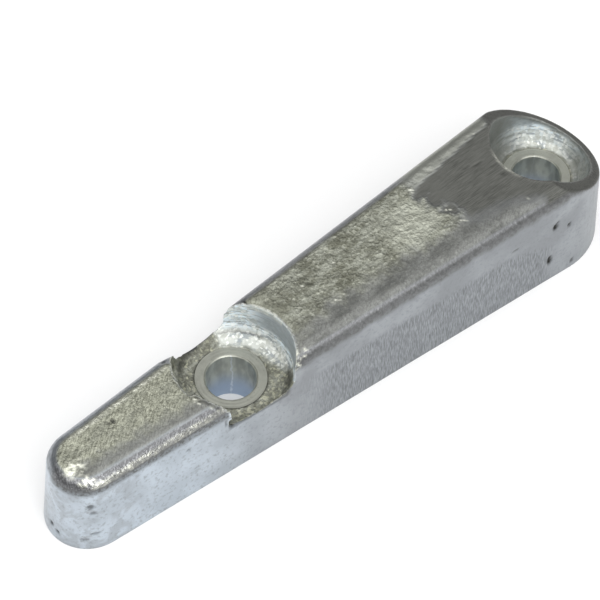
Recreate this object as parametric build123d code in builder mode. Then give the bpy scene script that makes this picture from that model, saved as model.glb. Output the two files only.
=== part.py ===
"""Sacrificial anode: a tapered zinc bar cast round two steel bolt bushes.

Millimetres, +Z up. The flat underside lies on Z = 0 and seats on the hull or drive.
The origin is where the middle bolt hole's axis meets the underside, and +X runs to the wide end.
"""

import os
from math import acos, asin, degrees

from build123d import *

# Bolt holes, and the steel bushes cast into the zinc
hole_spacing = 68.0
bolt_hole_diameter = 8.5
bush_diameter = 12.0
bush_length = 11.2
bush_chamfer = 0.5

# Outline of the bar at its underside: two round ends joined by straight sides
nose_reach = 36.8
nose_radius = 7.3
tail_reach = 11.5
tail_radius = 13.0
wall_draft = 4.5

# Heights of the crown above the underside
nose_height = 17.0
finger_height = 17.6
shoulder_height = 18.95
crown_height = 21.2
crown_edge_radius = 2.7

# Bevel left on the wide end where the casting gate was ground away
bevel_lead = 4.9
bevel_angle = 27.5
bevel_edge_radius = 0.8

# Pockets for the bolt heads: a dished floor up to a ledge line, then a hollow wall that turns upright
middle_pocket_shift = 0.6
middle_pocket_radius = 9.9
middle_floor_radius = 6.2
middle_ledge_radius = 7.7
middle_ledge_rise = 0.3
middle_wall_rise = 3.0
tail_pocket_radius = 9.0
tail_floor_radius = 6.2
tail_ledge_radius = 7.6
tail_ledge_rise = 0.9
tail_wall_rise = 4.7

# Lip of zinc that the middle pocket leaves on the near half of the finger's end
lip_radius = 9.15
lip_start_angle = 188.0
lip_end_angle = 232.0

# Allowance by which cutting bodies pass the zinc, and the slopes by which faces are told apart
cut_margin = 5.0
crown_slope_limit = 20.0
slope_tolerance = 1.0

nose_centre = nose_radius - nose_reach
tail_centre = hole_spacing + tail_reach - tail_radius
cut_reach = tail_radius + cut_margin
side_angle = degrees(asin((tail_radius - nose_radius) / (tail_centre - nose_centre)))
bevel_start = hole_spacing - bevel_lead
blank_height = crown_height + cut_margin


def pocket_profile(hole_x, hole_y, floor_radius, ledge_radius, ledge_rise, wall_rise, wall_radius):
    """Return the half section of a bolt-head pocket, from the bush's face up past the crown."""
    floor = bush_length
    ledge = floor + ledge_rise
    wall_foot = floor + wall_rise
    with BuildSketch(Plane((hole_x, hole_y, 0), x_dir=(1, 0, 0), z_dir=(0, -1, 0))) as profile:
        with BuildLine():
            Line((0, floor), (floor_radius, floor))
            TangentArc((floor_radius, floor), (ledge_radius, ledge), tangent=(1, 0))
            TangentArc((wall_radius, wall_foot), (ledge_radius, ledge), tangent=(0, -1))
            Polyline((wall_radius, wall_foot), (wall_radius, blank_height), (0, blank_height), (0, floor))
        make_face()
    return profile.sketch


def slope_of(face):
    """Return the angle in degrees between a face and the underside."""
    return degrees(acos(face.normal_at().Z))


def is_crown(face):
    """Tell the faces of the crown from the walls and the underside."""
    return slope_of(face) < crown_slope_limit


def is_bevel(face):
    """Tell the ground bevel from the crown and the walls."""
    return abs(slope_of(face) - bevel_angle) < slope_tolerance


with BuildPart() as middle_void:
    # Full round pocket, less the sector where the finger keeps its lip
    revolve(
        pocket_profile(
            0,
            -middle_pocket_shift,
            middle_floor_radius,
            middle_ledge_radius,
            middle_ledge_rise,
            middle_wall_rise,
            middle_pocket_radius,
        ),
        axis=Axis((0, -middle_pocket_shift, 0), (0, 0, 1)),
    )
    with BuildSketch(Plane.XY.offset(bush_length)):
        with BuildLine():
            pocket_centre = (0, -middle_pocket_shift)
            lip_reach = middle_pocket_radius + cut_margin
            lip_span = lip_end_angle - lip_start_angle
            outer = CenterArc(pocket_centre, lip_reach, lip_start_angle, lip_span)
            inner = CenterArc(pocket_centre, lip_radius, lip_start_angle, lip_span)
            Line(outer @ 0, inner @ 0)
            Line(outer @ 1, inner @ 1)
        make_face()
    extrude(amount=blank_height, mode=Mode.SUBTRACT)

with BuildPart() as anode_casting:
    # Drafted blank on the bar's outline
    with BuildSketch(Plane.XY):
        with BuildLine():
            nose = CenterArc((nose_centre, 0), nose_radius, 90 + side_angle, 180 - 2 * side_angle)
            tail = CenterArc((tail_centre, 0), tail_radius, -90 - side_angle, 180 + 2 * side_angle)
            Line(nose @ 0, tail @ 1)
            Line(nose @ 1, tail @ 0)
        make_face()
    extrude(amount=blank_height, taper=wall_draft)

    # Crown: the finger's slope and the body's slope, eased into each other over the middle pocket
    with BuildSketch(Plane.XZ.offset(-cut_reach)):
        with BuildLine():
            finger = Line((-nose_reach, nose_height), (-middle_pocket_radius, finger_height))
            body = Line((middle_pocket_radius, shoulder_height), (bevel_start, crown_height))
            Spline(finger @ 1, body @ 0, tangents=(finger % 1, body % 0))
            far_end = body @ 1 + (body % 1) * (tail_reach + bevel_lead + cut_margin)
            near_end = finger @ 0 - (finger % 0) * cut_margin
            Line(near_end, finger @ 0)
            Line(body @ 1, far_end)
            Polyline(near_end, (near_end.X, blank_height), (far_end.X, blank_height), far_end)
        make_face()
    extrude(amount=2 * cut_reach, mode=Mode.SUBTRACT)

    # Rounded top edges, all round but not across the joins between the slopes
    crown_faces = anode_casting.faces().filter_by(is_crown)
    fillet(crown_faces.edges().filter_by(Axis.Y, reverse=True), radius=crown_edge_radius)

    # Ground bevel over the wide end
    with BuildSketch(Plane.XZ.offset(-cut_reach)):
        with BuildLine():
            slope = PolarLine((bevel_start, crown_height), 2 * tail_radius, angle=-bevel_angle)
            top_start = (bevel_start, blank_height)
            top_end = ((slope @ 1).X, blank_height)
            Polyline(slope @ 0, top_start, top_end, slope @ 1)
        make_face()
    extrude(amount=2 * cut_reach, mode=Mode.SUBTRACT)
    bevel_face = anode_casting.faces().filter_by(GeomType.PLANE).filter_by(is_bevel)
    fillet(bevel_face.edges().filter_by(Axis.Y, reverse=True), radius=bevel_edge_radius)

    # Bolt-head pockets, and the seats of the bushes below them
    add(middle_void.part, mode=Mode.SUBTRACT)
    revolve(
        pocket_profile(
            hole_spacing,
            0,
            tail_floor_radius,
            tail_ledge_radius,
            tail_ledge_rise,
            tail_wall_rise,
            tail_pocket_radius,
        ),
        axis=Axis((hole_spacing, 0, 0), (0, 0, 1)),
        mode=Mode.SUBTRACT,
    )
    with BuildSketch(Plane.XY):
        with Locations((0, 0), (hole_spacing, 0)):
            Circle(bush_diameter / 2)
    extrude(amount=bush_length, mode=Mode.SUBTRACT)

os.makedirs("parts", exist_ok=True)
anode_casting.part.label = "anode_casting"
export_step(anode_casting.part, "parts/anode_casting.step")

for bush_name, hole_x in (("middle_bush", 0), ("wide_end_bush", hole_spacing)):
    with BuildPart() as bush:
        with BuildSketch(Plane.XY):
            with Locations((hole_x, 0)):
                Circle(bush_diameter / 2)
                Circle(bolt_hole_diameter / 2, mode=Mode.SUBTRACT)
        extrude(amount=bush_length)
        bore = bush.faces().filter_by(GeomType.CYLINDER).sort_by(SortBy.AREA)[0]
        chamfer(bore.edges().group_by(Axis.Z)[-1].filter_by(GeomType.CIRCLE), length=bush_chamfer)
    bush.part.label = bush_name
    export_step(bush.part, f"parts/{bush_name}.step")
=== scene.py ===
"""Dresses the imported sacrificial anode: the casting's skin, the turned steel bushes and a plain stage."""

from math import cos, pi, radians, sin

import bmesh
import bpy
import numpy as np
from bpy.props import FloatProperty, FloatVectorProperty, IntProperty, PointerProperty
from mathutils import Matrix, Vector, noise
from mathutils.bvhtree import BVHTree


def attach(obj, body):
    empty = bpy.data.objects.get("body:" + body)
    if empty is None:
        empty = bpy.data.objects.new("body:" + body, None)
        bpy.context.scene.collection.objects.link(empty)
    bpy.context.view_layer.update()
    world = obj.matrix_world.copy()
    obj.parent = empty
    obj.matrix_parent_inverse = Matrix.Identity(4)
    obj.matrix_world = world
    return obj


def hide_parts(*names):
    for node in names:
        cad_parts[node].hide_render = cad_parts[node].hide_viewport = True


bl_info = {
    "name": "Sacrificial anode",
    "version": (1, 0, 0),
    "blender": (4, 5, 0),
    "location": "View3D > Sidebar > Anode",
    "description": "Builds a cast zinc anode with steel bolt bushes, and a plain stage to show it on",
    "category": "Object",
}

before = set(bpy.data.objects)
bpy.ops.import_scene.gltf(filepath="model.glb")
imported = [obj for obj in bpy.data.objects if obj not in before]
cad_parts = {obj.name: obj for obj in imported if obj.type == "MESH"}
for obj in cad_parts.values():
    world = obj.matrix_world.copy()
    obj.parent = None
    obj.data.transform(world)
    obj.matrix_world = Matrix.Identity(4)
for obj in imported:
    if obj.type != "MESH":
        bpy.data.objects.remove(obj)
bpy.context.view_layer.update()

MM = 0.001
CASTING = "anode_casting"

# Places on the bar, in millimetres: the bolt holes, then the pockets above their bushes with their radii
MIDDLE_HOLE = (0.0, 0.0)
WIDE_HOLE = (68.0, 0.0)
MIDDLE_POCKET = (0.0, -0.6, 9.9)
WIDE_POCKET = (68.0, 0.0, 9.0)
BUSH_TOP = 11.2
SEAT_RADIUS = 6.0

# Heights of the top, in millimetres: the finger's, the body's at the middle hole, and the filed flat's
FINGER_TOP = 17.4
BODY_TOP = 18.5
FILED_TOP = 20.95

# Change for each millimetre along the bar: the body's top, the long sides and the wide end's bevel
BODY_RISE = 0.0425
SIDE_TAPER = 0.0595
BEVEL_FALL = 0.517

# A point on the bevel, in millimetres along the bar and up
BEVEL_POINT = (76.2, 14.4)

# Long sides, in millimetres: where the near one starts, along and across, and the far one at the middle hole
NEAR_SIDE = (-29.5, -6.0)
FAR_SIDE = 7.77

# The paler plateau on the body's top, in millimetres: centre and reach along X, Y and Z
PLATEAU = ((39.5, 0.8, 20.2), (8.5, 7.0, 9.0))

# Depth of the grid that the bar is meshed on again, as a power of two
GRAIN_DEPTH = 9

# Bushes: node, the hole that each stands about, and how light its steel is; the wide end's bush is painted
# lighter than the same steel of the middle one, painted light against its pocket's shade
BUSHES = (("middle_bush", MIDDLE_HOLE, 1.0), ("wide_end_bush", WIDE_HOLE, 1.12))


# Properties


class CastingSettings(bpy.types.PropertyGroup):
    """Sizes and colours of the zinc bar's skin."""

    grain: FloatProperty(
        name="Mesh grain", description="Edge of the finest face", default=0.352 * MM, unit="LENGTH"
    )
    skin_depth: FloatProperty(
        name="Skin depth", description="Relief taken off the bar's outline", default=0.10 * MM, unit="LENGTH"
    )
    wall_colour: FloatVectorProperty(
        name="Wall", description="Smooth zinc of the finger's walls", subtype="COLOR",
        default=(0.50, 0.555, 0.61),
    )
    dressed_colour: FloatVectorProperty(
        name="Dressed wall", description="Belt-dressed zinc of the body's walls", subtype="COLOR",
        default=(0.295, 0.311, 0.327),
    )
    edge_colour: FloatVectorProperty(
        name="Rounded edge", description="Smooth zinc of the rounded top edges", subtype="COLOR",
        default=(0.30, 0.305, 0.315),
    )
    # Painted shade: the dark band where the near rounded edge turns down into the wall
    shadow_colour: FloatVectorProperty(
        name="Edge tarnish", description="Dark band under the rounded top edges", subtype="COLOR",
        default=(0.148, 0.152, 0.15),
    )
    crown_colour: FloatVectorProperty(
        name="Crown", description="Rough zinc on top of the bar", subtype="COLOR",
        default=(0.275, 0.283, 0.242),
    )
    tarnish_colour: FloatVectorProperty(
        name="Tarnish", description="Olive stain on the rough zinc", subtype="COLOR",
        default=(0.195, 0.198, 0.156),
    )
    calm_colour: FloatVectorProperty(
        name="Calm crown", description="Smooth grey zinc beside the rough crown", subtype="COLOR",
        default=(0.215, 0.22, 0.215),
    )
    filed_colour: FloatVectorProperty(
        name="Filed zinc", description="Ground flat and bevel", subtype="COLOR",
        default=(0.125, 0.127, 0.117),
    )
    pocket_colour: FloatVectorProperty(
        name="Pocket", description="Bright zinc inside the pockets", subtype="COLOR",
        default=(0.70, 0.79, 0.84),
    )
    # Grime in pits and seams, and also the colour of the painted shade low in the middle pocket and along
    # the finger's end rim
    soot_and_shade_colour: FloatVectorProperty(
        name="Dirt", description="What lies in pits and seams", subtype="COLOR",
        default=(0.035, 0.036, 0.033),
    )


class BushSettings(bpy.types.PropertyGroup):
    """Sizes and colour of the turned steel bushes."""

    outer_radius: FloatProperty(
        name="Outer radius", description="Outside of the tube", default=6.0 * MM, unit="LENGTH"
    )
    bore_radius: FloatProperty(
        name="Bore radius", description="Clearance hole for the bolt", default=4.25 * MM, unit="LENGTH"
    )
    chamfer: FloatProperty(
        name="Chamfer", description="Broken edge at the mouth of the bore", default=0.22 * MM, unit="LENGTH"
    )
    steps: IntProperty(name="Steps", description="Facets round the tube", default=144, min=24)
    steel_colour: FloatVectorProperty(
        name="Steel", description="Dull turned steel", subtype="COLOR", default=(0.325, 0.332, 0.292)
    )
    # Painted reflection: the bluish light low in the bore
    bore_reflection_colour: FloatVectorProperty(
        name="Bore", description="Bluish steel low in the bore", subtype="COLOR", default=(0.44, 0.53, 0.66)
    )


class StageSettings(bpy.types.PropertyGroup):
    """Where the bar is seen from, and how it is lit."""

    camera_target: FloatVectorProperty(
        name="Target", description="Point that the camera looks at", subtype="TRANSLATION",
        default=(18.686 * MM, 4.913 * MM, 11.292 * MM),
    )
    camera_distance: FloatProperty(
        name="Distance", description="From the camera to its target", default=400.5 * MM, unit="LENGTH"
    )
    camera_turn: FloatProperty(
        name="Turn", description="Camera's heading about the vertical", subtype="ANGLE",
        default=radians(-42.11),
    )
    camera_height: FloatProperty(
        name="Height", description="Camera's angle above the horizon", subtype="ANGLE",
        default=radians(54.29),
    )
    camera_roll: FloatProperty(
        name="Roll", description="Camera's tilt in its own view", subtype="ANGLE", default=radians(3.0)
    )
    lens: FloatProperty(name="Lens", description="Focal length on a 36 mm sensor", default=144.0)
    floor_size: FloatProperty(name="Floor", description="Side of the floor", default=6.0, unit="LENGTH")
    room_level: FloatProperty(name="Room", description="Strength of the room's own light", default=0.35)
    backdrop_share: FloatProperty(
        name="Backdrop", description="Share of the floor that shows as plain white", default=0.25
    )


# The bar's surface as arrays


def eased(low, high, values):
    """Rise smoothly from 0 at low to 1 at high; low may be the larger."""
    share = np.clip((values - low) / (high - low), 0.0, 1.0)
    return share * share * (3.0 - 2.0 * share)


class Skin:
    """Points and normals of a mesh in millimetres, and the relief and stains laid on them."""

    def __init__(self, mesh):
        count = len(mesh.vertices)
        points = np.empty(count * 3, np.float32)
        normals = np.empty(count * 3, np.float32)
        mesh.vertices.foreach_get("co", points)
        mesh.vertices.foreach_get("normal", normals)
        self.points = points.reshape(-1, 3) / MM
        self.normals = normals.reshape(-1, 3)
        self.x, self.y, self.z = self.points.T
        self.nx, self.ny, self.nz = self.normals.T
        self.raised = np.zeros(count)
        # Dark marks: grime in pits and seams, and painted shade
        self.dirt_and_shade = np.zeros(count)
        # Painted highlights, and the bright scratches
        self.bright = np.zeros(count)

    def noise(self, size, seed, octaves=1):
        """Return smooth noise between about -1 and 1, with lumps of this size in millimetres."""
        offset = Vector((seed * 17.3, seed * 5.1, seed * 9.7))
        values = [
            noise.fractal(Vector(place) + offset, 1.0, 2.0, octaves, noise_basis="PERLIN_ORIGINAL")
            for place in self.points.astype(float) / size
        ]
        return np.array(values)

    def outward(self):
        """Return the way that relief is laid: the normals, but level along the bar's lower edge."""
        level = self.normals.copy()
        level[self.z < 0.6, 2] = 0.0
        return level / np.maximum(np.linalg.norm(level, axis=1), 0.001)[:, None]

    def from_axis(self, hole):
        """Return the distance of each point from a hole's axis."""
        return np.hypot(self.x - hole[0], self.y - hole[1])

    def angle_about(self, hole):
        """Return each point's bearing about a hole's axis, in degrees from +X."""
        return np.degrees(np.arctan2(self.y - hole[1], self.x - hole[0]))

    def spot(self, centre, reach):
        """Return 1 at a spot's centre, falling to 0 at its reach along X, Y and Z."""
        away = (self.points - np.array(centre)) / np.array(reach)
        return eased(1.0, 0.25, np.sqrt((away**2).sum(axis=1)))

    def line_band(self, start, end, width):
        """Return 1 along a line between two points, falling to 0 at half its width."""
        start, end = np.array(start), np.array(end)
        along = end - start
        share = np.clip((self.points - start) @ along / (along @ along), 0.0, 1.0)
        away = self.points - (start + share[:, None] * along)
        return eased(width / 2, width / 8, np.sqrt((away**2).sum(axis=1)))


def pocket_share(skin, pocket):
    """Return 1 on the floor and wall of a bolt-head pocket and 0 elsewhere."""
    radius = pocket[2]
    inside = eased(radius + 0.45, radius + 0.1, skin.from_axis(pocket))
    above = eased(BUSH_TOP - 0.35, BUSH_TOP - 0.05, skin.z)
    inward = skin.nx * (pocket[0] - skin.x) + skin.ny * (pocket[1] - skin.y)
    return inside * above * eased(-4.5, -1.5, inward) * (1.0 - crown_share(skin))


def floor_share(skin, ragged):
    """Return 1 on the rough stained floor of each pocket, which spreads widest in the middle one."""
    turn = skin.angle_about(MIDDLE_POCKET)
    end_side = np.maximum(eased(64.0, 88.0, turn + 8.0 * ragged), eased(-126.0, -140.0, turn + 9.0 * ragged))
    open_side = np.clip(end_side + eased(10.0, -65.0, turn), 0.0, 1.0)
    reach = 6.7 + 4.9 * open_side + 0.9 * ragged
    middle = eased(0.9, -0.9, skin.from_axis(MIDDLE_POCKET) - reach)
    wide = eased(6.5, 6.2, skin.from_axis(WIDE_POCKET))
    return np.maximum(middle * np.maximum(end_side, eased(0.25, 0.5, skin.nz)), wide)


def pocket_shade_share(skin, ragged):
    """Return how much painted shade the wide end's pocket gets: under its rim, and away from a lit patch on
    its far side.
    """
    turn = skin.angle_about(WIDE_HOLE) + 8.0 * ragged
    lit = eased(-20.0, 24.0, turn) * eased(102.0, 50.0, turn)
    near_side = 0.2 * eased(-120.0, -80.0, turn) * eased(60.0, 20.0, turn)
    unlit = (1.0 - lit) * (1.0 - near_side)
    rim = np.minimum(FILED_TOP, BEVEL_POINT[1] - BEVEL_FALL * (skin.x - BEVEL_POINT[0]))
    under_rim = eased(1.5, 0.4, rim - skin.z)
    inside = eased(10.2, 9.8, skin.from_axis(WIDE_HOLE))
    return np.maximum(unlit, 0.9 * under_rim) * inside


def shaded_wall_share(skin):
    """Return 1 on the upright wall at the body's end of the middle pocket, which gets painted shade."""
    turn = skin.angle_about(MIDDLE_POCKET)
    upright = eased(0.35, 0.1, skin.nz) * eased(9.2, 9.7, skin.from_axis(MIDDLE_POCKET))
    return upright * eased(46.0, 18.0, turn) * eased(-60.0, -40.0, turn)


def body_share(skin):
    """Return 1 on the body, past the middle pocket, and 0 on the finger."""
    return eased(6.0, 14.0, skin.x)


def wide_edge_share(skin):
    """Return 1 where the body's wider rounded edges begin."""
    return eased(2.0, 8.0, skin.x)


def dull_share(skin):
    """Return how dull the walls are, which grows from the finger to the body."""
    return eased(-19.0, 9.0, skin.x)


def patchy_share(skin):
    """Return 1 on the scaly wall round the finger's nose."""
    return eased(-21.0, -27.0, skin.x) * eased(15.0, 13.5, skin.z)


def cove_share(skin):
    """Return 1 where a wall has turned level, as at the foot of a pocket's wall."""
    return eased(0.3, 0.75, skin.nz)


def crown_share(skin):
    """Return 1 on the flat of the bar's top and 0 on its edges, its walls and in its pockets."""
    near_body = wide_edge_share(skin) * eased(0.05, -0.05, skin.ny)
    low = 0.90 - 0.16 * near_body
    return eased(15.8, 16.4, skin.z) * eased(low, low + 0.085 + 0.05 * near_body, skin.nz)


def edge_share(skin):
    """Return 1 on the rounded edges between the bar's top and its walls."""
    return eased(14.0, 14.8, skin.z) * eased(0.12, 0.4, skin.nz) * (1.0 - 0.35 * eased(0.0, 0.3, skin.ny))


def from_near_side(skin):
    """Return each point's distance from the bar's near long side, in millimetres."""
    return skin.y - NEAR_SIDE[1] + SIDE_TAPER * (skin.x - NEAR_SIDE[0])


def below_crown(skin):
    """Return each point's depth below the flat of the top beside it, in millimetres."""
    return np.where(skin.x < 0.0, FINGER_TOP, BODY_TOP + BODY_RISE * skin.x) - skin.z


def calm_share(skin, ragged):
    """Return 1 on the smoother border that runs along the top's near side and widens to the wide end."""
    inner = 4.3 + 1.6 * eased(6.0, 20.0, skin.x) + 2.2 * eased(40.0, 52.0, skin.x)
    return eased(1.9, -1.9, from_near_side(skin) - inner - 1.4 * ragged)


def edge_band_share(skin, ragged):
    """Return 1 along the band of painted shade where the near rounded edge turns into the wall."""
    body = wide_edge_share(skin)
    depth = below_crown(skin)
    turned_down = eased(0.5 + 0.27 * body, 0.34 + 0.26 * body, skin.nz)
    above_wall = eased(3.6 - 0.2 * body, 2.6 - 0.6 * body, depth + 0.5 * body * ragged)
    return turned_down * above_wall * eased(0.25, 0.0, skin.ny)


def far_flare(skin):
    """Return how far the filed flat's far border has opened along the bar, in millimetres."""
    return 0.14 * (skin.x - 44.4)


def filed_share(skin, ragged, rough):
    """Return 1 where the wide end has been filed flat and ground to a bevel."""
    start = 45.0 - 0.3 * skin.y + 1.3 * ragged - 2.2 * rough
    near = -5.6 - 0.16 * (skin.x - 49.0) - 3.0 * eased(54.0, 62.0, skin.x) + 0.6 * ragged
    far = 5.9 + far_flare(skin) + 0.25 * ragged
    flat = eased(-1.2, 1.2, skin.x - start) * eased(-2.0, 2.0, skin.y - near)
    flat = flat * eased(-0.3, 0.3, far - skin.y)
    turned = skin.x - 61.35 - 0.168 * skin.y + 0.4 * ragged
    rim = eased(-0.8, 0.8, turned)
    top = eased(0.5, 0.7, skin.nz) * eased(16.0, 17.0, skin.z)
    bevel = eased(63.0, 63.8, skin.x) * eased(0.25, 0.4, skin.nx) * eased(0.3, 0.5, skin.nz)
    bevel = bevel * eased(8.9, 9.1, skin.from_axis(WIDE_HOLE))
    return np.maximum(np.maximum(flat, rim) * top, bevel)


def pale_share(skin, filed):
    """Return 1 on the pale strip between the filed flat and the far long side."""
    strip = eased(42.0, 46.0, skin.x) * eased(5.4, 6.0, skin.y - far_flare(skin))
    return strip * eased(0.1, 0.3, skin.nz) * (1.0 - filed) * eased(16.0, 17.0, skin.z)


def cast_lumps(skin, crown, filed, calm, rough):
    """Lay the casting's rough skin on the crown, and slow waves on the walls."""
    fine = skin.noise(0.95, 2, octaves=2)
    waves = skin.noise(9.0, 3, octaves=2)
    body = body_share(skin)
    open_crown = crown * (1.0 - filed) * (1.0 - 0.65 * calm)
    skin.raised += open_crown * ((0.02 + 0.06 * body) * rough + (0.03 + 0.04 * body) * fine)
    skin.raised += (1.0 - crown) * (0.02 * waves + 0.006 * fine)
    nose = eased(-27.0, -31.0, skin.x) * eased(13.5, 15.0, skin.z)
    skin.raised += nose * 0.08 * rough
    return fine


# Clusters of raised crystals with painted highlights on them: centre, reach along X, Y and Z, and how much
# of it they cover
GLINTS = (
    ((-32.2, -1.2, 17.0), (2.7, 2.1, 1.6), 0.85),
    ((-32.0, -4.1, 16.5), (2.0, 1.6, 1.3), 0.85),
    ((8.9, -7.1, 18.2), (1.6, 1.6, 1.3), 0.5),
    ((7.3, -8.0, 16.9), (0.9, 0.8, 1.2), 0.5),
    ((5.4, -8.5, 11.2), (0.4, 0.5, 0.4), 0.6),
    ((-9.6, -3.4, 17.6), (0.8, 1.8, 1.0), 0.3),
    ((43.2, 6.0, 20.4), (1.0, 1.2, 1.0), 0.35),
    ((45.4, -1.5, 20.4), (1.0, 2.0, 1.0), 0.2),
    ((46.2, -4.2, 20.4), (0.8, 1.2, 1.0), 0.3),
    ((39.4, -9.4, 19.2), (0.3, 0.4, 0.7), 0.5),
    ((36.8, -0.3, 20.1), (0.9, 0.9, 1.0), 0.3),
    ((16.2, 2.7, 19.2), (2.6, 0.5, 1.0), 0.4),
    ((20.3, -3.0, 19.4), (2.4, 0.5, 1.0), 0.4),
    ((24.0, 3.0, 19.6), (1.8, 0.6, 1.0), 0.4),
)


def edge_beads(skin):
    """Raise small beads along the near top edge, most on the finger, and in clusters on its nose and the
    body; paint highlights on the finger's beads, the clusters and along the finger's far edge.
    """
    finger = eased(-5.5, -7.0, skin.x) * eased(-32.5, -31.0, skin.x)
    shoulder = eased(0.34, 0.46, skin.nz) * eased(0.78, 0.66, skin.nz) * eased(0.0, -0.2, skin.ny)
    beads = skin.noise(0.55, 4) + 0.4 * skin.noise(1.7, 6)
    skin.raised += 0.04 * beads * shoulder * (0.3 + 0.7 * finger)
    # Painted highlight on the finger's near-edge beads
    skin.bright = np.maximum(skin.bright, (0.2 + 0.5 * eased(-0.2, 0.5, beads)) * shoulder * finger)
    from_row = np.abs(FAR_SIDE + SIDE_TAPER * skin.x - skin.y - 2.35)
    far = eased(0.55, 0.15, from_row) * eased(16.8, 17.2, skin.z)
    far = far * eased(-0.5, 0.25, beads) * eased(-30.5, -28.5, skin.x) * eased(-9.0, -10.0, skin.x)
    # Painted highlight: a bright broken line along the finger's far top edge
    skin.bright = np.maximum(skin.bright, 0.75 * far)
    for centre, reach, cover in GLINTS:
        share = skin.spot(centre, reach)
        skin.raised += 0.05 * beads * share
        # Painted highlight on each cluster
        skin.bright = np.maximum(skin.bright, share * eased(0.35 - 0.6 * cover, 0.65 - 0.6 * cover, beads))


# Blemishes: centre, reach along X, Y and Z, depth and how much grime lies in each
BLEMISHES = (
    ((61.5, -11.7, 13.4), (0.75, 1.0, 1.0), 0.35, 1.0),
    ((61.9, -11.7, 14.3), (0.35, 1.0, 0.5), 0.2, 0.7),
    ((64.7, -12.0, 11.9), (0.5, 1.0, 0.65), 0.3, 0.9),
    ((60.8, -12.3, 5.2), (0.7, 1.0, 1.5), 0.36, 1.0),
    ((66.1, -12.9, 1.6), (0.5, 1.0, 0.7), 0.2, 0.6),
    ((52.7, -11.1, 13.6), (0.9, 1.0, 0.35), 0.12, 0.5),
    ((-32.6, -5.6, 11.3), (0.9, 1.0, 0.8), 0.2, 0.7),
    ((-32.4, -5.8, 9.6), (0.7, 1.0, 0.6), 0.15, 0.5),
    ((-36.4, 0.3, 3.0), (0.8, 0.7, 0.8), 0.3, 0.9),
    ((-36.3, -1.2, 2.2), (0.8, 0.6, 0.6), 0.3, 0.9),
    ((-32.5, -6.3, 4.0), (1.3, 1.0, 0.4), 0.15, 0.6),
    ((-34.1, -5.4, 2.6), (1.1, 1.0, 0.4), 0.12, 0.5),
    ((-22.3, 2.0, 17.3), (0.35, 0.9, 1.0), 0.12, 0.9),
    ((-23.2, 2.3, 17.3), (0.25, 0.6, 1.0), 0.1, 0.7),
    ((-14.4, -7.2, 12.3), (0.6, 1.0, 0.3), 0.1, 0.6),
    ((55.9, 3.0, 20.9), (1.3, 0.4, 1.0), 0.12, 0.45),
    ((53.8, 3.7, 20.8), (0.9, 0.3, 1.0), 0.1, 0.4),
    ((57.8, -1.2, 21.0), (0.55, 0.45, 1.0), 0.18, 0.55),
    ((5.8, 7.0, 12.3), (0.6, 0.6, 0.35), 0.2, 0.8),
    ((-5.9, -7.9, 11.9), (0.9, 0.8, 0.9), 0.3, 0.85),
    ((-6.9, -7.7, 13.2), (0.35, 0.6, 1.2), 0.25, 0.6),
    ((-9.0, 6.4, 17.2), (0.9, 0.9, 1.2), 0.35, 0.45),
    ((-3.9, -8.2, 11.4), (1.6, 0.6, 0.5), 0.15, 0.7),
    ((7.9, 6.2, 18.5), (0.35, 0.9, 0.8), 0.25, 0.8),
)


def blemish(skin):
    """Sink pits, nicks and folds into the skin and leave grime in them."""
    for centre, reach, depth, dirt_and_shade in BLEMISHES:
        share = skin.spot(centre, reach)
        skin.raised -= depth * share
        skin.dirt_and_shade = np.maximum(skin.dirt_and_shade, dirt_and_shade * np.minimum(1.6 * share, 1.0))


# Cold-shut seams round the middle pocket: height, first and last bearing in degrees, and depth
SEAMS = ((12.1, 20.0, 70.0, 0.10), (13.7, 38.0, 80.0, 0.10))

# Burrs on the pockets' rims, with a painted highlight along each: pocket, first and last bearing in degrees,
# and the lowest height of each
BURRS = ((MIDDLE_POCKET, -8.0, 36.0, 17.4), (WIDE_POCKET, 156.0, 202.0, 20.0))

# Scratches: start, end and width
SCRATCHES = (
    ((57.6, -7.4, 21.0), (57.1, -9.2, 20.6), 0.34),
    ((64.0, 7.4, 20.4), (59.5, 8.3, 21.0), 0.3),
)


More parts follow.
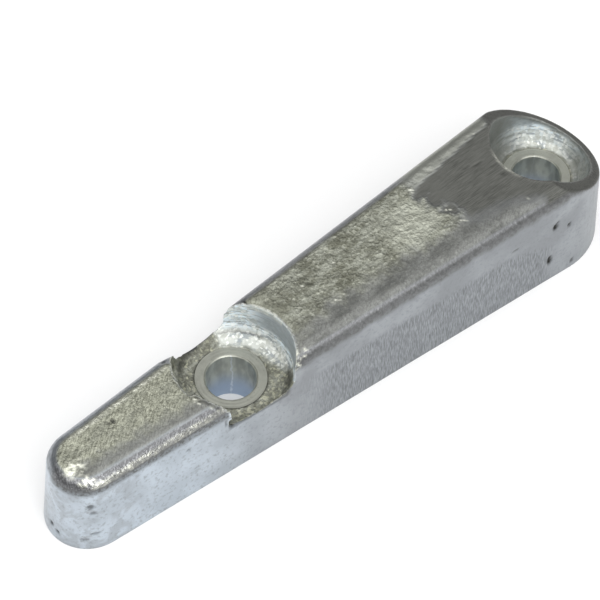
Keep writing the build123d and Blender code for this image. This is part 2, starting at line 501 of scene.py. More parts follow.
def pocket_marks(skin, middle, fine):
    """Add the middle pocket's seams, painted shade along the finger's end rim and low in the pocket, and the
    thin burrs on both pockets' rims with a painted highlight along each.
    """
    bearing = skin.angle_about(MIDDLE_POCKET)
    from_middle = skin.from_axis(MIDDLE_POCKET)
    wavy = 0.12 * fine
    wall = middle * eased(8.2, 8.6, from_middle)
    steep = np.sqrt(np.maximum(1.0 - skin.nz**2, 0.02))
    for height, first, last, depth in SEAMS:
        line = eased(0.24 * steep, 0.05 * steep, np.abs(skin.z - height - wavy * steep))
        line = line * eased(first - 6, first + 6, bearing) * eased(last + 6, last - 6, bearing)
        skin.raised -= depth * line * wall
        skin.dirt_and_shade = np.maximum(skin.dirt_and_shade, 0.65 * line * wall)
    # Painted shade: a dark line along the finger's end rim, with no cut in the surface
    line_band = eased(0.5, 0.1, np.abs(from_middle - 9.7 - 0.15 * fine)) * eased(16.2, 16.8, skin.z)
    turn = bearing % 360.0
    line_band = line_band * eased(150.0, 160.0, turn) * eased(238.0, 230.0, turn)
    skin.dirt_and_shade = np.maximum(skin.dirt_and_shade, 0.7 * line_band)
    # Painted shade: darker low in the pocket just above the bush, less on the lit far side
    foot_shade = eased(12.9, 12.2, skin.z) * eased(10.9, 11.2, skin.z) * eased(0.2, 0.5, np.abs(skin.ny))
    foot_shade = foot_shade * (1.0 - 0.85 * eased(15.0, 35.0, bearing) * eased(95.0, 80.0, bearing))
    skin.dirt_and_shade = np.maximum(skin.dirt_and_shade, 0.55 * foot_shade * eased(9.9, 9.4, from_middle))
    for pocket, first, last, lowest in BURRS:
        turn = skin.angle_about(pocket) % 360.0
        line = eased(0.26, 0.08, np.abs(skin.from_axis(pocket) - pocket[2] - 0.1))
        line = line * eased(first - 4, first + 4, turn) * eased(last + 4, last - 4, turn)
        line = line * eased(lowest, lowest + 0.4, skin.z)
        skin.raised += 0.06 * line
        # Painted highlight along each burr
        skin.bright = np.maximum(skin.bright, (0.36 + 0.35 * fine) * line)


def scratches(skin):
    """Score a few bright scratches into the top."""
    for start, end, width in SCRATCHES:
        line = skin.line_band(start, end, width)
        skin.raised -= 0.05 * line
        skin.bright = np.maximum(skin.bright, 0.45 * line)


def linished_share(skin):
    """Return 1 on the lower part of the body's side walls, which have been dressed on a belt."""
    upper = 12.2 - 0.35 * np.maximum(skin.x - 52.0, 0.0)
    side = eased(0.8, 0.95, np.abs(skin.ny))
    return side * eased(0.7, -0.7, skin.z - upper) * eased(4.0, 18.0, skin.x) * eased(63.0, 58.0, skin.x)


# The pieces


def write_attribute(mesh, name, *masks):
    """Store up to three masks on a mesh as one colour attribute."""
    layer = mesh.color_attributes.new(name, "FLOAT_COLOR", "POINT")
    values = np.ones((len(mesh.vertices), 4), np.float32)
    for channel, mask in enumerate(masks):
        values[:, channel] = mask
    layer.data.foreach_set("color", values.ravel())


def merged_copy(node):
    """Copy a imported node's loose triangles into a new closed mesh."""
    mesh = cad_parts[node].data.copy()
    mesh.materials.clear()
    work = bmesh.new()
    work.from_mesh(mesh)
    bmesh.ops.remove_doubles(work, verts=work.verts, dist=0.001 * MM)
    bmesh.ops.recalc_face_normals(work, faces=work.faces)
    work.to_mesh(mesh)
    work.free()
    return mesh


def put_in_scene(name, data):
    """Make an object of a mesh, lamp or camera and link it to the scene."""
    made = bpy.data.objects.new(name, data)
    bpy.context.scene.collection.objects.link(made)
    return made


def new_piece(name, mesh, body="root"):
    """Put a mesh in the scene as an object that rides on a body of the frame."""
    piece = put_in_scene(name, mesh)
    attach(piece, body)
    return piece


def fine_mesh(mesh, grain):
    """Rebuild a mesh with even faces of one size, drawn back onto the shape that it had."""
    shape = bmesh.new()
    shape.from_mesh(mesh)
    tree = BVHTree.FromBMesh(shape)
    holder = put_in_scene("grain", mesh)
    remesh = holder.modifiers.new("grain", "REMESH")
    remesh.mode = "SHARP"
    remesh.octree_depth = GRAIN_DEPTH
    remesh.scale = max(holder.dimensions) / (grain * 2**GRAIN_DEPTH)
    remesh.sharpness = 1.0
    remesh.use_remove_disconnected = False
    graph = bpy.context.evaluated_depsgraph_get()
    even = bpy.data.meshes.new_from_object(holder.evaluated_get(graph), depsgraph=graph)
    bpy.data.objects.remove(holder)
    for vertex in even.vertices:
        vertex.co = tree.find_nearest(vertex.co)[0]
    shape.free()
    return even


# Corners that the casting lost: place, reach and how many times each is smoothed
WORN_CORNERS = (((-6.9, 6.9, 16.8), 2.5, 60), ((-5.2, -8.2, 12.6), 1.2, 12))

# The middle pocket's softened rim: lowest height, reach to either side and how many times it is smoothed
SOFT_RIM = (11.7, 0.6, 4)


def wear_corners(mesh):
    """Round the thin corners that the middle pocket leaves on the finger, and soften the pocket's rims."""
    work = bmesh.new()
    work.from_mesh(mesh)
    groups = []
    for place, reach, passes in WORN_CORNERS:
        corner = Vector(place) * MM
        worn = [vertex for vertex in work.verts if (vertex.co - corner).length < reach * MM]
        groups.append((worn, passes))
    lowest, reach, passes = SOFT_RIM
    axis = Vector(MIDDLE_POCKET[:2])
    rim = [
        vertex
        for vertex in work.verts
        if vertex.co.z > lowest * MM and abs((vertex.co.xy / MM - axis).length - MIDDLE_POCKET[2]) < reach
    ]
    groups.append((rim, passes))
    for group, passes in groups:
        for _ in range(passes):
            bmesh.ops.smooth_vert(
                work, verts=group, factor=0.5, use_axis_x=True, use_axis_y=True, use_axis_z=True
            )
    work.to_mesh(mesh)
    work.free()


def lay_relief(mesh, skin, highest):
    """Move a mesh by its skin's relief, lowered so that bumps up to this height stay inside its outline."""
    moving = eased(0.1, 0.3, np.hypot(skin.nx, skin.ny) + np.maximum(skin.nz, 0.0))
    for hole in (MIDDLE_HOLE, WIDE_HOLE):
        moving = moving * eased(SEAT_RADIUS + 0.05, SEAT_RADIUS + 0.6, skin.from_axis(hole))
    lift = (np.minimum(skin.raised, highest) - highest) * moving
    placed = skin.points + skin.outward() * lift[:, None]
    placed[:, 2] = np.maximum(placed[:, 2], 0.0)
    mesh.vertices.foreach_set("co", (placed * MM).astype(np.float32).ravel())
    mesh.update()


class ANODE_OT_cast_bar(bpy.types.Operator):
    """Dress the zinc bar: its rough skin, filed end, pits, seams and burrs"""

    bl_idname = "anode.cast_bar"
    bl_label = "Cast bar"

    def execute(self, context):
        settings = context.scene.anode_casting
        mesh = fine_mesh(merged_copy(CASTING), settings.grain)
        wear_corners(mesh)
        skin = Skin(mesh)
        ragged = skin.noise(1.8, 5, octaves=3)
        crown = crown_share(skin)
        rough = skin.noise(2.6, 1, octaves=3)
        filed = filed_share(skin, ragged, rough)
        middle = pocket_share(skin, MIDDLE_POCKET)
        wide = pocket_share(skin, WIDE_POCKET)
        calm = calm_share(skin, ragged)
        fine = cast_lumps(skin, crown, filed, calm, rough)
        edge_beads(skin)
        blemish(skin)
        scratches(skin)
        pocket_marks(skin, middle, fine)
        lay_relief(mesh, skin, settings.skin_depth / MM)
        pocket = np.maximum(middle, wide)
        edge = edge_share(skin) * (1.0 - crown) * (1.0 - pocket)
        plateau = skin.spot(*PLATEAU) * (0.7 + 0.3 * ragged)
        pale = pale_share(skin, filed)
        masks = {
            "cast_zones": (crown * (1.0 - filed) * (1.0 - 0.7 * pale), filed, pocket),
            # Grime and painted shade, painted highlights and bright scratches, and the belt-dressed walls
            "cast_marks_and_painted_light": (skin.dirt_and_shade, skin.bright, linished_share(skin)),
            "cast_parts": (pocket * floor_share(skin, ragged), edge, dull_share(skin)),
            # Painted shade under the near rounded edge, the calm border and the scaly nose
            "cast_tones_and_edge_shade": (edge_band_share(skin, ragged), calm, patchy_share(skin)),
            "cast_spots": (shaded_wall_share(skin), pale, body_share(skin)),
            # The paler plateau, the pockets' coves, and painted shade in the wide end's pocket
            "cast_plateau_and_shade": (plateau, cove_share(skin), pocket_shade_share(skin, ragged)),
        }
        for name, channels in masks.items():
            write_attribute(mesh, name, *channels)
        mesh.shade_smooth()
        mesh.materials.append(zinc_material(settings))
        bar = new_piece("zinc_bar", mesh)
        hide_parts(CASTING)
        return {"FINISHED"}


# Bearing in degrees, about the bolt hole, of the part of the bore that the glare wanders round
GLARE_BEARING = 50.0


def turned_bush(name, hole, level, settings):
    """Turn one steel bush about a bolt hole's axis, with a chamfer at the mouth of its bore."""
    height = BUSH_TOP * MM
    broken = 0.05 * MM
    profile = (
        (settings.bore_radius, 0.0),
        (settings.outer_radius, 0.0),
        (settings.outer_radius, height - broken),
        (settings.outer_radius - broken, height),
        (settings.bore_radius + settings.chamfer, height),
        (settings.bore_radius, height - settings.chamfer),
    )
    centre = Vector((hole[0] * MM, hole[1] * MM, 0.0))
    work = bmesh.new()
    ring = [work.verts.new(centre + Vector((radius, 0.0, up))) for radius, up in profile]
    edges = [work.edges.new(pair) for pair in zip(ring, ring[1:] + ring[:1])]
    bmesh.ops.spin(
        work, geom=ring + edges, cent=centre, axis=(0.0, 0.0, 1.0), angle=2 * pi, steps=settings.steps,
        use_merge=True,
    )
    bmesh.ops.remove_doubles(work, verts=work.verts, dist=0.001 * MM)
    bmesh.ops.recalc_face_normals(work, faces=work.faces)
    mesh = bpy.data.meshes.new(name)
    work.to_mesh(mesh)
    work.free()
    mesh.shade_smooth()
    mesh.set_sharp_from_angle(angle=radians(30))
    skin = Skin(mesh)
    bore = eased(0.15, 0.05, skin.from_axis(hole) - settings.bore_radius / MM)
    # Where the painted glare runs down the bore
    glare = np.clip(0.5 + (skin.angle_about(hole) - GLARE_BEARING) / 60.0, 0.0, 1.0)
    write_attribute(mesh, "bush_bore_and_glare", bore, glare)
    mesh.materials.append(steel_material(f"steel_{name}", hole, level, settings))
    return new_piece(name, mesh)


class ANODE_OT_seat_bushes(bpy.types.Operator):
    """Turn the two steel bushes and seat them in the zinc"""

    bl_idname = "anode.seat_bushes"
    bl_label = "Seat bushes"

    def execute(self, context):
        settings = context.scene.anode_bushes
        for node, hole, level in BUSHES:
            bush = turned_bush(f"turned_{node}", hole, level, settings)
            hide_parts(node)
        return {"FINISHED"}


# Materials


class Finish:
    """One metal finish, its nodes added and joined one at a time."""

    def __init__(self, name):
        self.material = bpy.data.materials.new(name)
        self.material.use_nodes = True
        self.tree = self.material.node_tree
        self.shader = self.tree.nodes["Principled BSDF"]
        self.place = self.add("ShaderNodeTexCoord").outputs["Object"]

    def add(self, kind, **settings):
        """Add a node with these settings."""
        node = self.tree.nodes.new(kind)
        for name, value in settings.items():
            setattr(node, name, value)
        return node

    def feed(self, socket, value):
        """Join another node's output to a socket, or set the socket's own value."""
        if isinstance(value, bpy.types.NodeSocket):
            self.tree.links.new(value, socket)
        elif socket.type == "RGBA":
            socket.default_value = (*value[:3], 1.0)
        else:
            socket.default_value = value

    def noise(self, size, detail=2.0, rough=0.5, stretch=None, turn=0.0, distort=0.0):
        """Return noise from 0 to 1 with lumps of this size in millimetres."""
        node = self.add("ShaderNodeTexNoise")
        place = self.place
        if stretch:
            mapping = self.add("ShaderNodeMapping", vector_type="TEXTURE")
            mapping.inputs["Rotation"].default_value = (0.0, 0.0, radians(turn))
            mapping.inputs["Scale"].default_value = stretch
            self.feed(mapping.inputs["Vector"], place)
            place = mapping.outputs["Vector"]
        self.feed(node.inputs["Vector"], place)
        self.feed(node.inputs["Scale"], 1.0 / (size * MM))
        self.feed(node.inputs["Detail"], detail)
        self.feed(node.inputs["Roughness"], rough)
        self.feed(node.inputs["Distortion"], distort)
        return node.outputs["Fac"]

    def crystals(self, size, wander):
        """Return the height of packed crystals of this size in millimetres, and a tone for each one."""
        shift = self.add("ShaderNodeVectorMath", operation="SCALE")
        self.feed(shift.inputs[0], wander)
        self.feed(shift.inputs["Scale"], 0.6 * size * MM)
        place = self.add("ShaderNodeVectorMath", operation="ADD")
        self.feed(place.inputs[0], self.place)
        self.feed(place.inputs[1], shift.outputs["Vector"])
        node = self.add("ShaderNodeTexVoronoi")
        self.feed(node.inputs["Vector"], place.outputs["Vector"])
        self.feed(node.inputs["Scale"], 1.0 / (size * MM))
        split = self.add("ShaderNodeSeparateColor")
        self.feed(split.inputs["Color"], node.outputs["Color"])
        return node.outputs["Distance"], split.outputs["Red"]

    def ramp(self, value, low, high, start=0.0, end=1.0):
        """Map a range of a value onto start to end, and hold it there outside."""
        node = self.add("ShaderNodeMapRange", interpolation_type="SMOOTHSTEP")
        for socket, number in zip(node.inputs, (value, low, high, start, end)):
            self.feed(socket, number)
        return node.outputs["Result"]

    def product(self, first, *others):
        """Multiply values and sockets."""
        for factor in others:
            first = self.math("MULTIPLY", first, factor)
        return first

    def sum(self, first, *others):
        """Add up products, each a tuple of values and sockets."""
        total = self.product(*first)
        for term in others:
            total = self.math("ADD", total, self.product(*term))
        return total

    def math(self, operation, first, second):
        """Join two values by a sum, product or other operation."""
        node = self.add("ShaderNodeMath", operation=operation)
        self.feed(node.inputs[0], first)
        self.feed(node.inputs[1], second)
        return node.outputs[0]

    def mix(self, share, first, second):
        """Blend two colours."""
        node = self.add("ShaderNodeMix", data_type="RGBA")
        self.feed(node.inputs["Factor"], share)
        self.feed(node.inputs[6], first)
        self.feed(node.inputs[7], second)
        return node.outputs[2]

    def stained(self, colour, *stains):
        """Lay stains over a colour in turn, each a share and the colour that it brings."""
        for share, stain in stains:
            colour = self.mix(share, colour, stain)
        return colour

    def masks(self, attribute):
        """Return the three masks held in a colour attribute."""
        layer = self.add("ShaderNodeAttribute", attribute_name=attribute)
        split = self.add("ShaderNodeSeparateColor")
        self.feed(split.inputs["Color"], layer.outputs["Color"])
        return split.outputs["Red"], split.outputs["Green"], split.outputs["Blue"]

    def surface(self, colour, roughness, metallic):
        """Set the metal's colour, its roughness and how metallic it is."""
        for name, value in (("Base Color", colour), ("Roughness", roughness), ("Metallic", metallic)):
            self.feed(self.shader.inputs[name], value)

    def bump(self, height, depth):
        """Roughen the surface by a height from 0 to 1, this many millimetres deep."""
        node = self.add("ShaderNodeBump")
        self.feed(node.inputs["Height"], height)
        self.feed(node.inputs["Distance"], depth * MM)
        self.feed(self.shader.inputs["Normal"], node.outputs["Normal"])


def shade(colour, level):
    """Return a colour made lighter or darker."""
    return tuple(channel * level for channel in colour)


# Spacing of the turned steel's rings, in millimetres
RING_SPACING = 2.0

# Tones that don't follow a setting, as linear red, green and blue
BRUSHED_FINGER = (0.465, 0.475, 0.385)
PALE_STRIP = (0.35, 0.36, 0.325)
POCKET_FOOT = (0.58, 0.60, 0.56)
# Painted glints on random crystals in the pockets
POCKET_GLINTS = (0.96, 0.98, 0.94)
POCKET_SHADOW = (0.15, 0.157, 0.14)
FLOOR_FLAKES = (0.56, 0.56, 0.42)
# Painted highlight colour, also that of the bright scratches
GLINT = (0.84, 0.85, 0.74)
BORE_GLARE = (0.9, 0.95, 1.0)
FLOOR_WHITE = (0.94, 0.94, 0.94)


def zinc_material(settings):
    """Cast zinc: bluish walls, a rough stained crown, filed and dressed patches, bright pockets."""
    zinc = Finish("cast_zinc")
    crown, filed, pocket = zinc.masks("cast_zones")
    dirt_and_shade, bright, linished = zinc.masks("cast_marks_and_painted_light")
    floor, edge, dull = zinc.masks("cast_parts")
    band, calm, patchy = zinc.masks("cast_tones_and_edge_shade")
    shaded, pale, body = zinc.masks("cast_spots")
    plateau, cove, pocket_shade = zinc.masks("cast_plateau_and_shade")

    clouds = zinc.noise(7.0, detail=3.0)
    patches = zinc.noise(2.2, detail=6.0, rough=0.68, stretch=(2.0, 1.0, 1.0), turn=4.0, distort=0.4)
    scales = zinc.noise(3.4, detail=4.0, rough=0.55, distort=0.8)
    specks = zinc.noise(0.62, detail=3.0, rough=0.6)
    grit = zinc.noise(0.3, detail=2.0)
    brushed = zinc.noise(0.26, detail=3.0, rough=0.6, stretch=(4.0, 1.0, 1.0), turn=40.0)
    streaks = zinc.noise(0.4, detail=3.0, rough=0.6, stretch=(8.0, 8.0, 1.0))
    stains = zinc.noise(2.2, detail=4.0, rough=0.6, stretch=(3.0, 1.0, 1.0), turn=8.0)
    facets, facet_tone = zinc.crystals(0.85, clouds)
    flakes, flake_tone = zinc.crystals(0.45, clouds)
    file_lines = zinc.noise(0.13, detail=2.0, rough=0.6, stretch=(30.0, 1.0, 1.0))
    belt_lines = zinc.noise(0.15, detail=2.0, rough=0.6, stretch=(1.0, 1.0, 16.0))

    wall_tone, dressed_tone = settings.wall_colour, settings.dressed_colour
    edge_tone, shadow_tone = settings.edge_colour, settings.shadow_colour
    crown_tone, tarnish_tone = settings.crown_colour, settings.tarnish_colour
    calm_tone, filed_tone, pocket_tone = settings.calm_colour, settings.filed_colour, settings.pocket_colour

    # Walls, their belt-dressed part, the rounded edges above them and the painted shade between
    light_wall = zinc.mix(zinc.ramp(clouds, 0.38, 0.62), shade(wall_tone, 0.88), shade(wall_tone, 1.04))
    dull_wall = zinc.mix(zinc.ramp(clouds, 0.35, 0.65), shade(dressed_tone, 0.95), shade(dressed_tone, 1.2))
    dressed = zinc.mix(zinc.ramp(belt_lines, 0.3, 0.7), shade(dressed_tone, 0.64), shade(dressed_tone, 1.24))
    rounded = zinc.stained(
        zinc.mix(body, shade(edge_tone, 0.55), shade(edge_tone, 0.92)),
        (zinc.ramp(specks, 0.45, 0.65, 0.0, 0.4), shade(edge_tone, 0.45)),
        (zinc.ramp(brushed, 0.45, 0.65, 0.0, 0.6), shade(edge_tone, 1.25)),
    )
    painted_shade = zinc.mix(body, shade(shadow_tone, 0.8), shadow_tone)
    wall = zinc.stained(
        zinc.mix(dull, light_wall, dull_wall),
        (zinc.ramp(specks, 0.50, 0.70, 0.0, 0.55), shade(dressed_tone, 0.85)),
        (zinc.product(patchy, zinc.ramp(scales, 0.43, 0.64, 0.0, 0.5)), dressed_tone),
        (linished, dressed),
        (edge, rounded),
        # Painted shade along the band under the near rounded edge
        (zinc.product(band, zinc.ramp(specks, 0.35, 0.65, 1.0, 0.5)), painted_shade),
    )

    # The top: rough on the body, brushed on the finger, calm along its near side and filed at the wide end
    plateau_zinc = zinc.mix(zinc.ramp(stains, 0.40, 0.62), shade(crown_tone, 2.1), shade(crown_tone, 1.6))
    finger_zinc = zinc.stained(
        zinc.mix(zinc.ramp(brushed, 0.33, 0.67), BRUSHED_FINGER, shade(tarnish_tone, 1.02)),
        (zinc.ramp(patches, 0.42, 0.62, 0.0, 0.5), shade(crown_tone, 0.85)),
    )
    calm_zinc = zinc.stained(
        zinc.mix(zinc.ramp(stains, 0.42, 0.62), shade(calm_tone, 1.1), shade(calm_tone, 0.66)),
        (zinc.ramp(brushed, 0.48, 0.62, 0.0, 0.5), shade(calm_tone, 0.6)),
        (zinc.ramp(grit, 0.50, 0.70, 0.0, 0.5), shade(calm_tone, 0.6)),
        (zinc.ramp(specks, 0.5, 0.68, 0.0, 0.5), shade(calm_tone, 1.3)),
    )
    top = zinc.stained(
        zinc.mix(zinc.ramp(patches, 0.36, 0.64), shade(crown_tone, 1.28), shade(tarnish_tone, 0.98)),
        (zinc.ramp(stains, 0.50, 0.66, 0.0, 0.45), shade(tarnish_tone, 0.66)),
        (zinc.ramp(brushed, 0.52, 0.70, 0.0, 0.5), shade(tarnish_tone, 0.6)),
        (zinc.ramp(flake_tone, 0.70, 1.0, 0.0, 0.48), shade(crown_tone, 1.9)),
        (zinc.ramp(facet_tone, 0.6, 1.0, 0.0, 0.28), shade(tarnish_tone, 0.55)),
        (zinc.product(plateau, 0.9), plateau_zinc),
        (zinc.sum((0.9,), (body, -0.9)), finger_zinc),
        (zinc.product(calm, 0.85), calm_zinc),
    )
    filed_zinc = zinc.stained(
        zinc.mix(zinc.ramp(file_lines, 0.3, 0.7), shade(filed_tone, 0.80), shade(filed_tone, 1.40)),
        (zinc.ramp(clouds, 0.45, 0.65, 0.0, 0.5), shade(filed_tone, 1.35)),
    )

    # The pockets' walls and their rough floors
    pocket_zinc = zinc.stained(
        zinc.mix(cove, shade(pocket_tone, 1.25), POCKET_FOOT),
        (zinc.ramp(patches, 0.50, 0.62, 0.0, 0.35), shade(crown_tone, 1.5)),
        (zinc.ramp(streaks, 0.50, 0.60, 0.0, 0.8), shade(pocket_tone, 0.38)),
        (zinc.ramp(facet_tone, 0.15, 0.45, 0.5, 0.0), shade(crown_tone, 1.35)),
        # Painted glints on random crystals
        (zinc.ramp(flake_tone, 0.6, 0.9, 0.0, 0.6), POCKET_GLINTS),
        # Painted shade on the body's end wall of the middle pocket
        (zinc.product(shaded, 0.85), shade(pocket_tone, 0.43)),
        # Painted shade in the wide end's pocket
        (zinc.product(pocket_shade, 0.92), POCKET_SHADOW),
    )
    floor_zinc = zinc.stained(
        zinc.mix(zinc.ramp(patches, 0.36, 0.62), shade(crown_tone, 1.02), shade(tarnish_tone, 0.82)),
        (zinc.ramp(specks, 0.46, 0.66, 0.0, 0.8), shade(tarnish_tone, 0.55)),
        (zinc.ramp(flake_tone, 0.60, 1.0, 0.0, 0.5), FLOOR_FLAKES),
        # Painted shade on the wide end's pocket floor
        (zinc.product(pocket_shade, 0.5), shade(tarnish_tone, 0.75)),
    )

    colour = zinc.stained(
        wall,
        (crown, top),
        (pale, PALE_STRIP),
        (pocket, pocket_zinc),
        (floor, floor_zinc),
        (filed, filed_zinc),
        # Grime in pits and seams, and painted shade low in the middle pocket and along the finger's end rim
        (dirt_and_shade, settings.soot_and_shade_colour),
        # Painted highlights on beads, crystals and burrs, and bright scratches
        (zinc.product(bright, zinc.ramp(grit, 0.36, 0.54, 0.5, 1.0)), GLINT),
    )
    roughness = zinc.sum(
        (0.25,), (crown, 0.04), (floor, 0.06), (filed, 0.14), (dull, 0.10), (linished, 0.08), (specks, 0.12),
        (calm, crown, 0.08), (bright, -0.10),
    )
    zinc.surface(colour, roughness, zinc.sum((1.0,), (pocket, -0.75), (pocket, floor, 0.35)))
    rough_top = zinc.product(crown, zinc.sum((1.0,), (calm, -0.6)))
    height = zinc.sum(
        (specks, rough_top, 0.07),
        (grit, rough_top, 0.03),
        (facets, rough_top, body, 0.07),
        (flakes, rough_top, body, 0.05),
        (stains, rough_top, body, 0.06),
        (brushed, rough_top, 0.07),
        (specks, crown, 0.02),
        (brushed, edge, 0.05),
        (specks, edge, 0.05),
        (streaks, pocket, 0.08),
        (flakes, pocket, 0.02),
        (grit, floor, 0.05),
        (specks, floor, 0.11),
        (facets, floor, 0.05),
        (file_lines, filed, 0.016),
        (belt_lines, linished, 0.014),
        (scales, patchy, 0.08),
        (specks, 0.02),
    )
    zinc.bump(height, 1.0)
    return zinc.material


def steel_material(name, hole, level, settings):
    """Turned steel: dull beige grey with fine rings about the bolt hole, and a painted glare and painted
    bluish reflection down its bore.
    """
    steel = Finish(name)
    centre = steel.add("ShaderNodeMapping")
    centre.inputs["Location"].default_value = (-hole[0] * MM, -hole[1] * MM, 0.0)
    steel.feed(centre.inputs["Vector"], steel.place)
    rings = steel.add("ShaderNodeTexWave", wave_type="RINGS", rings_direction="Z")
    steel.feed(rings.inputs["Vector"], centre.outputs["Vector"])
    steel.feed(rings.inputs["Scale"], 1.0 / (RING_SPACING * MM))
    steel.feed(rings.inputs["Distortion"], 1.5)
    stains = steel.noise(1.8, detail=3.0)
    specks = steel.noise(0.4, detail=2.0)
    smeared = steel.noise(1.4, detail=2.0, stretch=(1.0, 1.0, 2.5))
    bore, glare = steel.masks("bush_bore_and_glare")[:2]

    split = steel.add("ShaderNodeSeparateXYZ")
    steel.feed(split.inputs["Vector"], steel.place)
    # Painted bluish reflection low in the bore
    low = steel.ramp(split.outputs["Z"], 2.0 * MM, 8.0 * MM, 1.0, 0.0)
    # Painted glare: a wandering bright line down the bore
    wander = steel.sum((steel.noise(1.3, detail=3.0), 0.3), (1.0, glare))
    from_line = steel.math("ABSOLUTE", steel.math("SUBTRACT", wander, 0.65), 0.0)
    line = steel.ramp(from_line, 0.01, 0.05, 0.5, 0.0)
    bore_tone = settings.steel_colour
    inside = steel.stained(
        steel.mix(steel.ramp(smeared, 0.35, 0.65), shade(bore_tone, 1.45), shade(bore_tone, 2.05)),
        (low, settings.bore_reflection_colour),
        (steel.product(line, steel.ramp(smeared, 0.40, 0.50, 0.2, 1.0)), BORE_GLARE),
    )
    # Painted light: the wide end's bush is made lighter than the middle one's same steel
    tone = shade(settings.steel_colour, level)
    colour = steel.stained(
        steel.mix(steel.ramp(stains, 0.35, 0.65), shade(tone, 0.88), tone),
        (steel.ramp(specks, 0.62, 0.74, 0.0, 0.5), shade(tone, 0.55)),
        (bore, inside),
    )
    steel.surface(colour, steel.sum((0.36,), (stains, 0.14), (bore, 0.1)), 1.0)
    steel.bump(steel.sum((rings.outputs["Fac"], 0.5), (specks, 0.5)), 0.02)
    return steel.material


# Stage


def floor_material(share):
    """Plain white, partly self-coloured to the camera and in reflections, that still takes a shadow."""
    material = bpy.data.materials.new("white_floor")
    material.use_nodes = True
    nodes, link = material.node_tree.nodes, material.node_tree.links.new
    nodes.clear()
    matt = nodes.new("ShaderNodeBsdfDiffuse")
    matt.inputs["Color"].default_value = (*FLOOR_WHITE, 1.0)
    plain = nodes.new("ShaderNodeEmission")
    path = nodes.new("ShaderNodeLightPath")
    glossy, seen, part = (nodes.new("ShaderNodeMath") for _ in range(3))
    glossy.operation = seen.operation = "MAXIMUM"
    part.operation = "MULTIPLY"
    part.inputs[1].default_value = share
    mixed = nodes.new("ShaderNodeMixShader")
    output = nodes.new("ShaderNodeOutputMaterial")
    link(path.outputs["Is Glossy Ray"], glossy.inputs[0])
    link(path.outputs["Is Transmission Ray"], glossy.inputs[1])
    link(path.outputs["Is Camera Ray"], seen.inputs[0])
    link(glossy.outputs[0], seen.inputs[1])
    link(seen.outputs[0], part.inputs[0])
    link(part.outputs[0], mixed.inputs["Fac"])
    link(matt.outputs[0], mixed.inputs[1])
    link(plain.outputs[0], mixed.inputs[2])
    link(mixed.outputs[0], output.inputs["Surface"])
    return material


def soft_box(name, bearing, height, distance, size, power, target):
    """Hang a square soft lamp that faces the bar."""
    lamp = bpy.data.lights.new(name, "AREA")
    lamp.shape = "SQUARE"
    lamp.size = size
    lamp.energy = power
    holder = put_in_scene(name, lamp)
    away = Vector((cos(height) * cos(bearing), cos(height) * sin(bearing), sin(height)))
    holder.location = target + away * distance
    holder.rotation_euler = away.to_track_quat("Z", "Y").to_euler()


# Width of the camera's sensor, in millimetres
SENSOR = 36.0

# Lamps: name, bearing and height in degrees, distance and size in metres, power in watts
SOFT_BOXES = (
    ("overhead_box", 228.0, 80.0, 1.3, 2.6, 28.0),
    ("front_box", 236.0, 57.0, 0.9, 0.22, 0.9),
    ("low_box", -98.0, 28.0, 1.0, 0.5, 2.8),
)


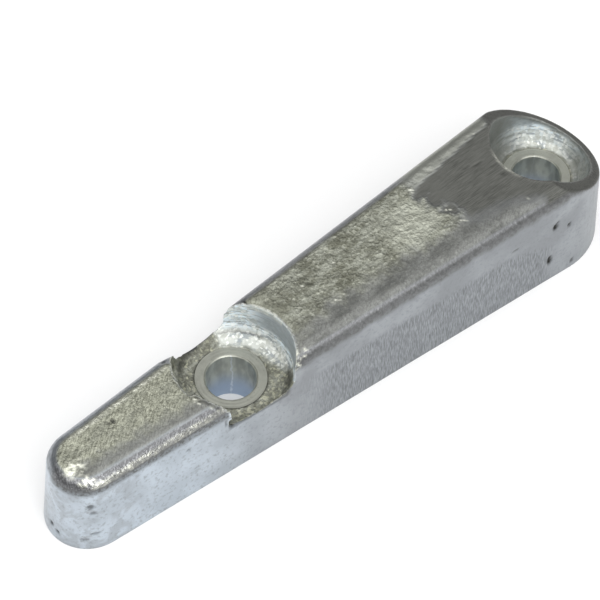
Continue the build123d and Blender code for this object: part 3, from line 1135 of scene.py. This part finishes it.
class ANODE_OT_set_stage(bpy.types.Operator):
    """Set a plain white floor, soft lamps and the camera"""

    bl_idname = "anode.set_stage"
    bl_label = "Set stage"

    def execute(self, context):
        settings = context.scene.anode_stage
        target = Vector(settings.camera_target)

        work = bmesh.new()
        bmesh.ops.create_grid(work, x_segments=1, y_segments=1, size=settings.floor_size / 2)
        mesh = bpy.data.meshes.new("floor")
        work.to_mesh(mesh)
        work.free()
        mesh.materials.append(floor_material(settings.backdrop_share))
        floor = put_in_scene("floor", mesh)

        for name, bearing, height, distance, size, power in SOFT_BOXES:
            soft_box(name, radians(bearing), radians(height), distance, size, power, target)

        world = bpy.data.worlds.new("room")
        context.scene.world = world
        world.use_nodes = True
        room = world.node_tree.nodes["Background"]
        room.inputs["Color"].default_value = (1.0, 1.0, 1.0, 1.0)
        room.inputs["Strength"].default_value = settings.room_level

        turn, height, roll = settings.camera_turn, settings.camera_height, settings.camera_roll
        ahead = Vector((-sin(turn) * cos(height), cos(turn) * cos(height), -sin(height)))
        level = Vector((cos(turn), sin(turn), 0.0))
        above = level.cross(ahead)
        right = level * cos(roll) + above * sin(roll)
        up = above * cos(roll) - level * sin(roll)
        camera = put_in_scene("camera", bpy.data.cameras.new("camera"))
        camera.data.sensor_width = SENSOR
        camera.data.lens = settings.lens
        camera.data.clip_start = 0.01
        pose = Matrix((right, up, -ahead)).transposed().to_4x4()
        pose.translation = target - ahead * settings.camera_distance
        camera.matrix_world = pose
        context.scene.camera = camera
        context.scene.view_settings.view_transform = "Standard"
        return {"FINISHED"}


class ANODE_PT_sidebar(bpy.types.Panel):
    """Lists the steps that build the anode, with their sizes and colours"""

    bl_idname = "ANODE_PT_sidebar"
    bl_label = "Sacrificial anode"
    bl_space_type = "VIEW_3D"
    bl_region_type = "UI"
    bl_category = "Anode"

    def draw(self, context):
        steps = (
            (ANODE_OT_cast_bar, context.scene.anode_casting),
            (ANODE_OT_seat_bushes, context.scene.anode_bushes),
            (ANODE_OT_set_stage, context.scene.anode_stage),
        )
        for operator, settings in steps:
            box = self.layout.box()
            box.operator(operator.bl_idname)
            for name in settings.__annotations__:
                box.prop(settings, name)


CLASSES = (
    CastingSettings,
    BushSettings,
    StageSettings,
    ANODE_OT_cast_bar,
    ANODE_OT_seat_bushes,
    ANODE_OT_set_stage,
    ANODE_PT_sidebar,
)


def register():
    """Register the classes and hang their settings on the scene."""
    for cls in CLASSES:
        bpy.utils.register_class(cls)
    bpy.types.Scene.anode_casting = PointerProperty(type=CastingSettings)
    bpy.types.Scene.anode_bushes = PointerProperty(type=BushSettings)
    bpy.types.Scene.anode_stage = PointerProperty(type=StageSettings)


def unregister():
    """Take the settings and classes away again."""
    del bpy.types.Scene.anode_stage
    del bpy.types.Scene.anode_bushes
    del bpy.types.Scene.anode_casting
    for cls in reversed(CLASSES):
        bpy.utils.unregister_class(cls)


def main():
    """Build the anode and its stage."""
    register()
    bpy.ops.anode.cast_bar()
    bpy.ops.anode.seat_bushes()
    bpy.ops.anode.set_stage()


if __name__ == "__main__":
    main()
